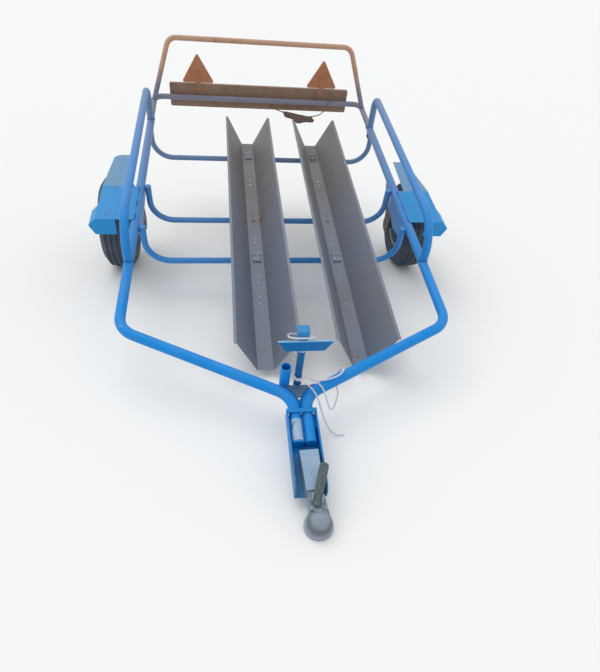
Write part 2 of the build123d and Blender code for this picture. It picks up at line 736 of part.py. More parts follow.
right_route = [(409, board_front_y, 54), (409, 289, 54), (407, 272, 43), (403, 264, 20), (396, 263, -6),
               (385, 265, -31), (368, 270, -53), (347, 276, -72), (324, 281, -90), (303, 281, -102)]
finish("lamp_cable_right", free_cord(right_route, cable_d) - cable_hank.part)

left_route = [(164, 281, -78), (142, 281, -68), (116, 279, -57), (92, 281, -46), (74, 288, -38),
              (66, 296, -35), (66, board_front_y, -35)]
finish("lamp_cable_left", free_cord(left_route, cable_d) - cable_hank.part)

# Parked stance: the level trailer is tipped until the tyres and the coupling's front rim
# share one ground line, and moved so that the origin is at the bottom centre of its box
ball_point = (coupling_place * Location((0, ball_y, (ball_z + head_rim_z) / 2))).position
nose_y = ball_point.Y - head_radius - head_rim
reach_y = axle_y - nose_y
reach_z = axle_z - head_rim_z
nose_down = asin(tyre_radius / hypot(reach_y, reach_z)) - atan2(reach_z, reach_y)
tipped = Location((0, 0, 0), (degrees(nose_down), 0, 0))
boxes = [piece.moved(tipped).bounding_box() for piece in pieces]
middle_y = (min(box.min.Y for box in boxes) + max(box.max.Y for box in boxes)) / 2
ground_z = min(box.min.Z for box in boxes)
parked = Location((0, -middle_y, -ground_z)) * tipped

os.makedirs("parts", exist_ok=True)
for piece in pieces:
    export_step(piece.moved(parked), f"parts/{piece.label}.step")
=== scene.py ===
import json
from math import atan2, cos, pi, radians, sin, sqrt

import bmesh
import bpy
from mathutils import Matrix, Vector


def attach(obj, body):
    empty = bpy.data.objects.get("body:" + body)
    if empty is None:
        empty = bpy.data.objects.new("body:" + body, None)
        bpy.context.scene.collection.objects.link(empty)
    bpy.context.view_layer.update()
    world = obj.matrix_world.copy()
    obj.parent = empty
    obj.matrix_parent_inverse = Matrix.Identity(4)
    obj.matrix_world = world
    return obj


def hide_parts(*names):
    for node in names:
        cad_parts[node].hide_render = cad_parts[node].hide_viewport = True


# A motorcycle trailer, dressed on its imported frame. Details are written in the level frame, in
# metres: X across, Y to the rear, Z up from the centre plane of the main tubes, before the
# trailer is tipped nose-down on its coupling.

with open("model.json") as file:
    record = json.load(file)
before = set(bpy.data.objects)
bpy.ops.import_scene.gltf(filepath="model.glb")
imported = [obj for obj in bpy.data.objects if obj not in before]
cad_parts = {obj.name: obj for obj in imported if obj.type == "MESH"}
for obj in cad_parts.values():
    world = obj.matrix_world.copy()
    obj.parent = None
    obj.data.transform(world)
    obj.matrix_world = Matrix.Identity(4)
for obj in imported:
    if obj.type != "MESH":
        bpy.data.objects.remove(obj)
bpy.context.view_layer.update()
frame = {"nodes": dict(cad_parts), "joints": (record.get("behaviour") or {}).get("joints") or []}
nodes = frame["nodes"]
joints = {joint["name"]: joint for joint in frame["joints"]}

# Places and sizes that the details share with the frame
main_x = 0.600
main_r = 0.019
rail_r = 0.017
rail_front_y = -1.145
rail_rear_y = -0.006
cross_r = 0.0135
cross_ys = (-0.923, -0.624)
cross_rear_y = -0.055
wheel_x = 0.722
axle_y = -0.603
axle_z = -0.210
channel_floor = -0.1632
channel_xs = (-0.0835, 0.286)
nose_bend_x = 0.108
nose_bend_y = -1.8545
nose_bend_r = 0.088
coupling_tube_x = 0.020
board_front_y = 0.3053
board_rear_y = 0.3213
post_y = -1.7477
post_r = 0.012

slide_axis = joints["lamp_frame_slide"]["axis"]
tip = Matrix.Rotation(atan2(slide_axis[2], slide_axis[1]), 4, "X")
wheel_place = Vector(joints["wheel_right_spin"]["pos_m"])
level = Matrix.Translation(wheel_place - tip @ Vector((wheel_x, axle_y, axle_z))) @ tip
sides = (("left", -1), ("right", 1))
rearwards = (0.0, 1.0, 0.0)
up = (0.0, 0.0, 1.0)


def screen(red, green, blue):
    """A colour as a screen shows it, 0 to 255, in the linear numbers that a shader takes."""
    linear = []
    for share in (red / 255, green / 255, blue / 255):
        linear.append(share / 12.92 if share <= 0.04 else ((share + 0.055) / 1.055) ** 2.4)
    return (*linear, 1.0)


def lighter(tint):
    """A brighter tint of a colour."""
    return (*(min(1.0, 1.3 * share) for share in tint[:3]), 1.0)


def darker(tint):
    """A deeper tint of a colour."""
    return (*(share * 0.62 for share in tint[:3]), 1.0)


def stretch(axis, start, end):
    """Direction, From and To of along_the_trailer for a stretch that is given in the level frame."""
    direction = tip.to_3x3() @ Vector(axis)
    shift = level.translation.dot(direction)
    return {"Direction": tuple(direction), "From": start + shift, "To": end + shift}


# Node groups, shared by the materials or by the pieces

def put(tree, kind, sockets=None, **settings):
    """A node with its settings and its unlinked sockets set."""
    made = tree.nodes.new(kind)
    for name, value in settings.items():
        setattr(made, name, value)
    for name, value in (sockets or {}).items():
        made.inputs[name].default_value = value
    return made


def wire(tree, *links):
    """Links, each from a node's output to another node's input."""
    for source, output, target, into in links:
        tree.links.new(source.outputs[output], target.inputs[into])


def node_group(name, kind, inputs, outputs):
    """An empty group with named inputs and outputs."""
    tree = bpy.data.node_groups.new(name, kind)
    for label, socket_kind, value in inputs:
        socket = tree.interface.new_socket(label, in_out="INPUT", socket_type=socket_kind)
        if value is not None:
            socket.default_value = value
    for label, socket_kind in outputs:
        tree.interface.new_socket(label, in_out="OUTPUT", socket_type=socket_kind)
    return tree, put(tree, "NodeGroupInput"), put(tree, "NodeGroupOutput")


number = "NodeSocketFloat"
vector = "NodeSocketVector"
geometry = "NodeSocketGeometry"


def shader_group(name, inputs, *outputs):
    """An empty group that takes a place and the given numbers and vectors, and gives numbers."""
    sockets = [("Vector", vector, None)]
    for label, value in inputs.items():
        sockets.append((label, vector if isinstance(value, tuple) else number, value))
    return node_group(name, "ShaderNodeTree", sockets, [(label, number) for label in outputs])


def make_mottle():
    """Soft patches: a mask between two thresholds of a noise."""
    tree, given, result = shader_group(
        "mottle", {"Scale": 8.0, "Detail": 4.0, "Low": 0.4, "High": 0.6}, "Mask")
    cloud = put(tree, "ShaderNodeTexNoise", {"Roughness": 0.62})
    limits = put(tree, "ShaderNodeMapRange", interpolation_type="SMOOTHSTEP")
    wire(tree, (given, "Vector", cloud, "Vector"), (given, "Scale", cloud, "Scale"),
         (given, "Detail", cloud, "Detail"), (cloud, "Fac", limits, "Value"),
         (given, "Low", limits, "From Min"), (given, "High", limits, "From Max"),
         (limits, "Result", result, "Mask"))
    return tree


def make_chips():
    """Small sharp chips that gather in patches. A higher threshold leaves fewer."""
    tree, given, result = shader_group(
        "paint_chips", {"Chip Scale": 90.0, "Patch Scale": 7.0, "Threshold": 1.2}, "Mask")
    fine = put(tree, "ShaderNodeTexNoise", {"Detail": 5.0, "Roughness": 0.7})
    broad = put(tree, "ShaderNodeTexNoise", {"Detail": 2.0})
    both = put(tree, "ShaderNodeMath", operation="ADD")
    over = put(tree, "ShaderNodeMath", operation="SUBTRACT")
    sharp = put(tree, "ShaderNodeMapRange", {"From Min": 0.0, "From Max": 0.025},
                interpolation_type="SMOOTHSTEP")
    wire(tree, (given, "Vector", fine, "Vector"), (given, "Vector", broad, "Vector"),
         (given, "Chip Scale", fine, "Scale"), (given, "Patch Scale", broad, "Scale"),
         (fine, "Fac", both, 0), (broad, "Fac", both, 1),
         (both, "Value", over, 0), (given, "Threshold", over, 1),
         (over, "Value", sharp, "Value"), (sharp, "Result", result, "Mask"))
    return tree


def make_grime():
    """Dust that settles on what faces up, broken by a noise."""
    tree, given, result = shader_group("settled_dust", {"Scale": 14.0, "Amount": 0.3}, "Mask")
    facing = put(tree, "ShaderNodeNewGeometry")
    split = put(tree, "ShaderNodeSeparateXYZ")
    upward = put(tree, "ShaderNodeMapRange", {"From Min": -0.3, "From Max": 0.9, "To Min": 0.25})
    cloud = put(tree, "ShaderNodeTexNoise", {"Detail": 6.0, "Roughness": 0.6})
    broken = put(tree, "ShaderNodeMapRange", {"From Min": 0.35, "From Max": 0.7})
    first = put(tree, "ShaderNodeMath", operation="MULTIPLY")
    second = put(tree, "ShaderNodeMath", operation="MULTIPLY")
    wire(tree, (facing, "Normal", split, 0), (split, "Z", upward, "Value"),
         (given, "Vector", cloud, "Vector"), (given, "Scale", cloud, "Scale"),
         (cloud, "Fac", broken, "Value"), (upward, "Result", first, 0), (broken, "Result", first, 1),
         (first, "Value", second, 0), (given, "Amount", second, 1), (second, "Value", result, "Mask"))
    return tree


def make_spangle():
    """Zinc crystals: cells of slightly different shade, with streaks along the sheet."""
    tree, given, result = shader_group(
        "zinc_spangle", {"Cell Scale": 120.0, "Streak Scale": 30.0}, "Shade", "Streaks")
    cells = put(tree, "ShaderNodeTexVoronoi", {"Randomness": 1.0}, feature="F1")
    shade = put(tree, "ShaderNodeSeparateColor")
    drawn_out = put(tree, "ShaderNodeMapping", {"Scale": (1.0, 0.06, 1.0)})
    streaks = put(tree, "ShaderNodeTexNoise", {"Detail": 5.0, "Roughness": 0.65})
    wire(tree, (given, "Vector", cells, "Vector"), (given, "Cell Scale", cells, "Scale"),
         (cells, "Color", shade, "Color"), (shade, "Red", result, "Shade"),
         (given, "Vector", drawn_out, "Vector"), (drawn_out, "Vector", streaks, "Vector"),
         (given, "Streak Scale", streaks, "Scale"), (streaks, "Fac", result, "Streaks"))
    return tree


def make_along():
    """A share that grows from 0 to 1 along one line through the trailer."""
    tree, given, result = shader_group(
        "along_the_trailer", {"Direction": rearwards, "From": 0.0, "To": 1.0}, "Share")
    reach = put(tree, "ShaderNodeVectorMath", operation="DOT_PRODUCT")
    limits = put(tree, "ShaderNodeMapRange", interpolation_type="SMOOTHSTEP")
    wire(tree, (given, "Vector", reach, 0), (given, "Direction", reach, 1),
         (reach, "Value", limits, "Value"), (given, "From", limits, "From Min"),
         (given, "To", limits, "From Max"), (limits, "Result", result, "Share"))
    return tree


def make_round_zone():
    """A share that grows from 0 to 1 away from an axis."""
    tree, given, result = shader_group(
        "round_zone", {"Centre": (0.0, 0.0, 0.0), "Axis": up, "From": 0.0, "To": 1.0}, "Share")
    away = put(tree, "ShaderNodeVectorMath", operation="SUBTRACT")
    across = put(tree, "ShaderNodeVectorMath", operation="CROSS_PRODUCT")
    reach = put(tree, "ShaderNodeVectorMath", operation="LENGTH")
    limits = put(tree, "ShaderNodeMapRange", interpolation_type="SMOOTHSTEP")
    wire(tree, (given, "Vector", away, 0), (given, "Centre", away, 1), (away, "Vector", across, 0),
         (given, "Axis", across, 1), (across, "Vector", reach, 0), (reach, "Value", limits, "Value"),
         (given, "From", limits, "From Min"), (given, "To", limits, "From Max"),
         (limits, "Result", result, "Share"))
    return tree


mottle = make_mottle()
chips = make_chips()
grime = make_grime()
spangle = make_spangle()
along = make_along()
round_zone = make_round_zone()


# Materials

class Finish:
    """A material in the making: its tree, its shader and the running colour and roughness."""

    def __init__(self, name, base, roughness, metallic=0.0, coat=0.0):
        self.material = bpy.data.materials.new(name)
        self.material.use_nodes = True
        self.material.diffuse_color = base
        self.tree = self.material.node_tree
        self.shader = self.tree.nodes["Principled BSDF"]
        start = {"Base Color": base, "Roughness": roughness, "Metallic": metallic, "Coat Weight": coat}
        for socket, value in start.items():
            self.shader.inputs[socket].default_value = value
        self.place = put(self.tree, "ShaderNodeTexCoord").outputs["Object"]
        self.roughness = roughness
        self.colour = base

    def use(self, group, **values):
        """Places a shared group on the object's own coordinates and gives its outputs."""
        sockets = {name.replace("_", " "): value for name, value in values.items()}
        made = put(self.tree, "ShaderNodeGroup", sockets, node_tree=group)
        self.tree.links.new(self.place, made.inputs["Vector"])
        return made.outputs

    def mix(self, mask, other, strength=1.0):
        """Blends the running colour to another one where the mask says."""
        blend = put(self.tree, "ShaderNodeMix", data_type="RGBA")
        self._feed(self.colour, blend.inputs[6])
        self._feed(other, blend.inputs[7])
        if strength != 1.0:
            eased = put(self.tree, "ShaderNodeMath", {1: strength}, operation="MULTIPLY")
            self.tree.links.new(mask, eased.inputs[0])
            mask = eased.outputs["Value"]
        self.tree.links.new(mask, blend.inputs[0])
        self.colour = blend.outputs[2]

    def rough(self, mask, value):
        """Moves the roughness to another value where the mask says."""
        blend = put(self.tree, "ShaderNodeMix", {3: value}, data_type="FLOAT")
        self._feed(self.roughness, blend.inputs[2])
        self.tree.links.new(mask, blend.inputs[0])
        self.roughness = blend.outputs[0]

    def layer(self, group, colour, strength=1.0, rough=None, **values):
        """Lays a colour over the finish where a group's first output says, and gives that output."""
        mask = self.use(group, **values)[0]
        self.mix(mask, colour, strength)
        if rough is not None:
            self.rough(mask, rough)
        return mask

    def bump(self, height, distance, strength):
        """Bump from a height, on top of the bump before it."""
        made = put(self.tree, "ShaderNodeBump", {"Strength": strength, "Distance": distance})
        self.tree.links.new(height, made.inputs["Height"])
        normal = self.shader.inputs["Normal"]
        if normal.is_linked:
            self.tree.links.new(normal.links[0].from_socket, made.inputs["Normal"])
        self.tree.links.new(made.outputs["Normal"], normal)

    def grain(self, scale, distance, strength):
        """Bump from a fine even grain."""
        self.bump(self.use(mottle, Scale=scale, Detail=2.0, Low=0.3, High=0.7)[0], distance, strength)

    def _feed(self, value, socket):
        if isinstance(value, bpy.types.NodeSocket):
            self.tree.links.new(value, socket)
        else:
            socket.default_value = value

    def done(self):
        """Gives the shader its colour and its roughness."""
        self._feed(self.colour, self.shader.inputs["Base Color"])
        self._feed(self.roughness, self.shader.inputs["Roughness"])
        return self.material


def tube_paint(name, near, far, chip, threshold, dust=0.08, dust_and_painted_light=(-1.5, 0.1), painted_highlight=None):
    """Blue enamel with chips down to primer and rust. Between two places along the trailer it blends from its
    front colour to its rear colour: painted haze on the main paint and the welds, painted light on the
    fender's rear plane, and a duller, dustier front on the cradle.
    """
    near = screen(*near)
    made = Finish(name, near, 0.4)
    made.shader.inputs["Specular IOR Level"].default_value = 0.2
    # Blend to the rear colour: painted haze on the main paint, painted light on the fender, dust on the
    # cradle
    made.layer(along, screen(*far), **stretch(rearwards, *dust_and_painted_light))
    made.layer(mottle, lighter(near), 0.2, Scale=9.0, Low=0.42, High=0.75)
    made.layer(mottle, darker(near), 0.25, Scale=3.2, Low=0.55, High=0.8)
    worn = made.layer(chips, screen(*chip), rough=0.75, Chip_Scale=110.0, Patch_Scale=6.0,
                      Threshold=threshold)
    made.layer(chips, screen(92, 58, 40), Chip_Scale=60.0, Patch_Scale=11.0, Threshold=threshold + 0.09)
    made.layer(grime, screen(150, 146, 136), rough=0.8, Scale=16.0, Amount=dust)
    # A pale band across the given span of height is a painted highlight along a plate's top edge.
    if painted_highlight:
        made.layer(along, screen(140, 190, 218), **stretch(up, *painted_highlight))
    ripple = made.use(mottle, Scale=38.0, Low=0.2, High=0.8)
    made.bump(ripple["Mask"], 0.0006, 0.25)
    made.bump(worn, -0.0003, 0.6)
    return made.done()


# Name, colour at the front, colour at the rear, colour of the chips, threshold of the chips
# The blue paint's paler grey-blue towards the rear is painted haze.
blue_paint = tube_paint("blue_paint", (0, 134, 214), (112, 138, 176), (130, 172, 206), 1.32)
post_paint = tube_paint("post_paint", (0, 96, 150), (0, 96, 150), (110, 130, 145), 1.26)
# The plate's pale band at the top of its height is a painted highlight.
plate_paint = tube_paint("plate_paint", (0, 104, 168), (0, 104, 168), (110, 140, 160), 1.26,
                         painted_highlight=(0.2265, 0.2285))
block_paint = tube_paint("block_paint", (50, 136, 194), (50, 136, 194), (130, 160, 180), 1.24)
web_paint = tube_paint("web_paint", (76, 112, 142), (76, 112, 142), (116, 124, 130), 1.16)
cradle_paint = tube_paint("cradle_paint", (56, 116, 162), (0, 128, 202), (120, 150, 170), 1.25,
                          dust=0.1, dust_and_painted_light=(-2.06, -1.98))
# The fender's paler colour behind its bend is painted light on the rear plane, which falls away.
fender_paint = tube_paint("fender_paint", (36, 140, 206), (98, 146, 182), (150, 184, 204), 1.3,
                          dust_and_painted_light=(-0.652, -0.648))
lamp_tube_paint = tube_paint("lamp_tube_paint", (128, 128, 144), (128, 128, 144), (150, 130, 112), 1.22,
                             dust=0.15)
# The welds' paler rear colour is painted haze, as on the blue paint.
weld_metal = tube_paint("weld_paint", (0, 104, 180), (84, 112, 156), (110, 100, 96), 1.22)


def hoop_paint():
    """The hoop's grey-blue paint turns warm brown towards its top, which is painted backlight haze, with
    brown chips of wear.
    """
    made = Finish("hoop_paint", screen(112, 118, 140), 0.5)
    # Warm brown rising towards the top is painted backlight haze.
    made.layer(along, screen(190, 150, 124), **stretch(up, 0.06, 0.20))
    cloud = made.layer(mottle, screen(164, 128, 104), 0.4, Scale=12.0, Low=0.4, High=0.7)
    worn = made.layer(chips, screen(134, 96, 74), rough=0.85, Chip_Scale=120.0, Patch_Scale=8.0,
                      Threshold=1.22)
    made.bump(cloud, 0.0004, 0.3)
    made.bump(worn, -0.0003, 0.6)
    return made.done()


def channel_zinc():
    """Weathered galvanised sheet: spangle, long streaks, brown stains and settled dust. It is browner
    towards the rear."""
    made = Finish("channel_zinc", screen(118, 132, 154), 0.52, metallic=0.12)
    made.layer(along, screen(138, 132, 130), **stretch(rearwards, -1.2, 0.0))
    crystals = made.use(spangle, Cell_Scale=130.0, Streak_Scale=26.0)
    made.mix(crystals["Shade"], screen(108, 116, 130), 0.35)
    made.mix(crystals["Streaks"], screen(112, 116, 124), 0.6)
    made.layer(mottle, screen(124, 112, 106), 0.45, rough=0.68, Scale=2.6, Low=0.45, High=0.75)
    made.layer(mottle, screen(84, 88, 98), 0.4, Scale=5.5, Detail=7.0, Low=0.6, High=0.85)
    spots = made.layer(chips, screen(110, 76, 58), Chip_Scale=70.0, Patch_Scale=5.0, Threshold=1.26)
    made.layer(grime, screen(140, 134, 126), rough=0.85, Scale=9.0, Amount=0.3)
    made.bump(crystals["Streaks"], 0.0003, 0.25)
    made.bump(spots, 0.0002, 0.4)
    return made.done()


def hood_zinc():
    """The coupling's hood: brighter zinc with white bloom."""
    made = Finish("hood_zinc", screen(132, 160, 186), 0.42, metallic=0.15)
    made.layer(spangle, screen(118, 142, 166), 0.3, Cell_Scale=160.0, Streak_Scale=40.0)
    made.layer(mottle, screen(168, 188, 206), 0.4, rough=0.62, Scale=18.0, Detail=6.0, Low=0.45, High=0.65)
    spots = made.layer(chips, screen(88, 96, 104), Chip_Scale=130.0, Patch_Scale=20.0, Threshold=1.25)
    made.bump(spots, -0.0002, 0.4)
    return made.done()


def cast_finish(made, pit, strength):
    """A cast surface: fine pits, with dark dirt in broad patches."""
    made.layer(mottle, pit, strength, rough=0.75, Scale=22.0, Detail=6.0, Low=0.4, High=0.7)
    made.grain(420.0, 0.0004, 0.5)
    return made.done()


def coupling_casting():
    """The ball head's casting: painted shade in the groove round the dome, and a paler rim."""
    made = Finish("head_casting", screen(134, 146, 160), 0.6, metallic=0.1)
    middle = tuple(level @ Vector((0.0129, -2.2173, -0.008)))
    axis = tuple(tip.to_3x3() @ Vector(up))
    # The dark ring round the dome is painted shade in its groove.
    made.layer(round_zone, screen(98, 106, 116), Centre=middle, Axis=axis, From=0.022, To=0.0335)
    made.layer(round_zone, screen(146, 158, 172), Centre=middle, Axis=axis, From=0.0352, To=0.0366)
    made.layer(along, screen(132, 146, 162), **stretch(rearwards, -2.196, -2.178))
    return cast_finish(made, screen(112, 118, 124), 0.4)


def bare_steel(name, base, rust_share, metallic=0.4):
    """Plain steel under a thin even rust."""
    made = Finish(name, screen(*base), 0.45, metallic=metallic)
    rust = made.layer(mottle, screen(96, 66, 48), rust_share, rough=0.75, Scale=60.0, Detail=6.0,
                      Low=0.35, High=0.65)
    made.bump(rust, 0.0002, 0.4)
    return made.done()


def rubber():
    """Tyre rubber, greyed by dust."""
    made = Finish("tyre_rubber", screen(56, 66, 80), 0.72)
    made.layer(grime, screen(106, 110, 114), rough=0.9, Scale=20.0, Amount=0.45)
    made.layer(mottle, screen(78, 90, 106), 0.5, Scale=10.0, Low=0.45, High=0.75)
    made.grain(600.0, 0.0002, 0.4)
    return made.done()


def coated(name, base, stain, roughness, metallic=0.0, grain_scale=90.0, dust=0.2):
    """A plain coated or moulded surface with stains and a fine grain."""
    made = Finish(name, screen(*base), roughness, metallic)
    made.layer(mottle, screen(*stain), 0.6, rough=min(1.0, roughness + 0.2), Scale=14.0, Detail=5.0,
               Low=0.42, High=0.7)
    made.layer(grime, screen(150, 142, 130), Scale=24.0, Amount=dust)
    made.grain(grain_scale, 0.0003, 0.35)
    return made.done()


def label_paint():
    """A blank foil label, worn through to the blue in places."""
    made = Finish("blank_label", screen(156, 182, 208), 0.4)
    worn = made.layer(chips, screen(60, 130, 184), rough=0.6, Chip_Scale=80.0, Patch_Scale=30.0,
                      Threshold=1.16)
    made.layer(mottle, screen(126, 150, 178), 0.5, Scale=70.0, Low=0.4, High=0.7)
    made.bump(worn, -0.0002, 0.6)
    return made.done()


def prismatic(name, base, dark):
    """A moulded lens: small prisms under a glossy skin."""
    made = Finish(name, screen(*base), 0.3, coat=0.3)
    prisms = put(made.tree, "ShaderNodeTexVoronoi", {"Scale": 220.0, "Randomness": 0.0}, feature="F1")
    made.tree.links.new(made.place, prisms.inputs["Vector"])
    made.mix(prisms.outputs["Distance"], screen(*dark), 0.7)
    made.layer(grime, screen(150, 130, 110), rough=0.7, Scale=20.0, Amount=0.3)
    made.bump(prisms.outputs["Distance"], 0.001, 0.5)
    return made.done()


channel_paint = channel_zinc()
hood_paint = hood_zinc()
hoop_paint_and_haze = hoop_paint()
head_casting = coupling_casting()
lever_steel = bare_steel("lever_steel", (76, 92, 96), 0.1, 0.15)
bolt_steel = bare_steel("bolt_steel", (140, 142, 144), 0.5)
bolt_zinc = bare_steel("bolt_zinc", (176, 190, 204), 0.1, 0.2)
axle_steel = bare_steel("axle_steel", (92, 92, 94), 0.5)
tyre_rubber = rubber()
rim_coat = coated("rim_coat", (116, 130, 152), (96, 106, 124), 0.45, 0.1)
hub_casting = cast_finish(Finish("hub_casting", screen(86, 92, 102), 0.6, metallic=0.12),
                          screen(60, 62, 68), 0.5)
board_coat = coated("board_coat", (142, 114, 94), (120, 96, 80), 0.7, dust=0.05)
reflector_back = coated("reflector_back", (180, 118, 80), (160, 104, 72), 0.5, dust=0.05)
lens_red = prismatic("lens_red", (170, 24, 22), (96, 8, 10))
lens_amber = prismatic("lens_amber", (216, 120, 24), (150, 70, 10))
lens_clear = prismatic("lens_clear", (206, 206, 200), (150, 150, 146))
lamp_case = coated("lamp_case", (40, 38, 38), (60, 54, 50), 0.6)
label_foil = label_paint()
cord_weave = coated("cord_weave", (216, 212, 222), (180, 178, 192), 0.85, grain_scale=900.0, dust=0.1)
# The cable's warm mid-brown is painted haze over a black sheath.
cable_sheath = coated("cable_sheath", (122, 100, 84), (96, 78, 64), 0.6, dust=0.1)

paints = {"front_post": post_paint, "front_plate": plate_paint, "post_block": block_paint,
          "drawbar_cradle": cradle_paint, "drawbar_web": web_paint, "coupling_body": hood_paint,
          "coupling_head": head_casting, "coupling_lever": lever_steel, "lamp_frame_tube": lamp_tube_paint,
          "rear_hoop": hoop_paint_and_haze, "lamp_board": board_coat}
for side, s in sides:
    paints.update({f"wheel_channel_{side}": channel_paint, f"fender_{side}": fender_paint,
                   f"stub_axle_{side}": axle_steel, f"rim_{side}": rim_coat, f"hub_{side}": hub_casting,
                   f"rear_lamp_{side}": lamp_case, f"reflector_{side}": reflector_back,
                   f"lock_screw_{side}": axle_steel, f"tyre_{side}": tyre_rubber})
for name, solid in nodes.items():
    solid.data.materials.clear()
    solid.data.materials.append(paints.get(name, blue_paint))


# Pieces

def placed(name, data):
    """An object in the scene."""
    made = bpy.data.objects.new(name, data)
    bpy.context.scene.collection.objects.link(made)
    return made


def piece(name, mesh, body):
    """Moves a mesh from the level frame to its place on the trailer and hangs it on its body."""
    mesh.transform(level)
    made = placed(name, mesh)
    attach(made, body)
    return made


def finish_mesh(mesh, work, material, sharp):
    """Writes bmesh work into a mesh, smooth but for the edges that are sharper than an angle."""
    work.to_mesh(mesh)
    work.free()
    mesh.shade_smooth()
    mesh.set_sharp_from_angle(angle=radians(sharp))
    mesh.materials.append(material)
    return mesh


def mesh_from(name, corners, faces, material, sharp=35):
    """A mesh from corners and faces, with its normals outwards."""
    mesh = bpy.data.meshes.new(name)
    mesh.from_pydata(corners, [], faces)
    work = bmesh.new()
    work.from_mesh(mesh)
    bmesh.ops.remove_doubles(work, verts=work.verts, dist=1e-7)
    bmesh.ops.recalc_face_normals(work, faces=work.faces)
    return finish_mesh(mesh, work, material, sharp)


def turns(count):
    """The angles of a full turn in equal steps, without the last one."""
    return [2 * pi * step / count for step in range(count)]


def skin(rings, count, closed=True):
    """The faces of a skin over rings that have the same count of corners. A closed one joins its
    last ring to its first."""
    faces = []
    for ring in range(rings if closed else rings - 1):
        here = ring * count
        after = (ring + 1) % rings * count
        for index in range(count):
            beside = (index + 1) % count
            faces.append((here + index, here + beside, after + beside, after + index))
    return faces


# Tyres with a cut tread
tread_half = [
    # distance from the middle, radius, what is cut there: 0 nothing, 1 shoulder slots, 2 rib slots
    (0.0518, 0.1022, 0), (0.0520, 0.1120, 0), (0.0528, 0.1215, 0), (0.0555, 0.1265, 0), (0.0572, 0.1300, 0),
    (0.0580, 0.1330, 0), (0.0620, 0.1400, 0), (0.0655, 0.1500, 0), (0.0671, 0.1600, 0), (0.0670, 0.1700, 0),
    (0.0660, 0.1775, 0), (0.0671, 0.1790, 0), (0.0645, 0.1825, 0), (0.0628, 0.1840, 0), (0.0597, 0.1890, 1),
    (0.0553, 0.1950, 1), (0.0517, 0.2005, 1), (0.0488, 0.2048, 1), (0.0445, 0.2078, 1), (0.0385, 0.2094, 1),
    (0.0380, 0.2050, 0), (0.0332, 0.2054, 0), (0.0326, 0.2102, 2), (0.0240, 0.2110, 2), (0.0156, 0.2115, 2),
    (0.0150, 0.2068, 0), (0.0106, 0.2070, 0), (0.0100, 0.2118, 2), (0.0000, 0.2120, 2),
]
tyre_profile = tread_half + [(-across, radius, cut) for across, radius, cut in reversed(tread_half[:-1])]
tyre_steps = 216
shoulder_slot = 0.0042
rib_slot = 0.0030


def tread_depth(cut, step):
    """Slots across the shoulders and, offset by half a pitch, across the ribs."""
    if cut == 1 and step % 6 == 0:
        return shoulder_slot
    if cut == 2 and step % 12 == 3:
        return rib_slot
    return 0.0


def tyre_carcass(name, x):
    """Turns the tyre's profile about the axle line, with its tread cut in."""
    corners = []
    for step, turn in enumerate(turns(tyre_steps)):
        for across, radius, cut in tyre_profile:
            r = radius - tread_depth(cut, step)
            corners.append((x + across, axle_y + r * cos(turn), axle_z + r * sin(turn)))
    return mesh_from(name, corners, skin(tyre_steps, len(tyre_profile)), tyre_rubber)


for side, s in sides:
    carcass = tyre_carcass(f"tyre_{side}_tread", s * wheel_x)
    made = piece(f"tyre_{side}_tread", carcass, f"wheel_{side}")
    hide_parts(f"tyre_{side}")


# Geometry trees: weld beads along seams, and fasteners on points

def make_weld_tree():
    """Overlapping flattened beads along each seam, each a little different."""
    tree, given, result = node_group(
        "weld_seam", "GeometryNodeTree",
        [("Geometry", geometry, None), ("Bead Radius", number, 0.0034), ("Spacing", number, 0.0036),
         ("Seed", "NodeSocketInt", 3), ("Material", "NodeSocketMaterial", None)],
        [("Geometry", geometry)])
    points = put(tree, "GeometryNodeCurveToPoints", mode="LENGTH")
    bead = put(tree, "GeometryNodeMeshIcoSphere", {"Radius": 1.0, "Subdivisions": 2})
    size = put(tree, "FunctionNodeRandomValue", {2: 0.8, 3: 1.2}, data_type="FLOAT")
    scaled = put(tree, "ShaderNodeMath", operation="MULTIPLY")
    shape = put(tree, "ShaderNodeVectorMath", {0: (1.0, 1.0, 0.75)}, operation="SCALE")
    place = put(tree, "GeometryNodeInstanceOnPoints")
    real = put(tree, "GeometryNodeRealizeInstances")
    smooth = put(tree, "GeometryNodeSetShadeSmooth")
    paint = put(tree, "GeometryNodeSetMaterial")
    wire(tree, (given, "Geometry", points, "Curve"), (given, "Spacing", points, "Length"),
         (given, "Seed", size, "Seed"), (size, 1, scaled, 0), (given, "Bead Radius", scaled, 1),
         (scaled, "Value", shape, "Scale"), (points, "Points", place, "Points"),
         (points, "Rotation", place, "Rotation"), (bead, "Mesh", place, "Instance"),
         (shape, "Vector", place, "Scale"), (place, "Instances", real, "Geometry"),
         (real, "Geometry", smooth, "Geometry"), (smooth, "Geometry", paint, "Geometry"),
         (given, "Material", paint, "Material"), (paint, "Geometry", result, "Geometry"))
    return tree


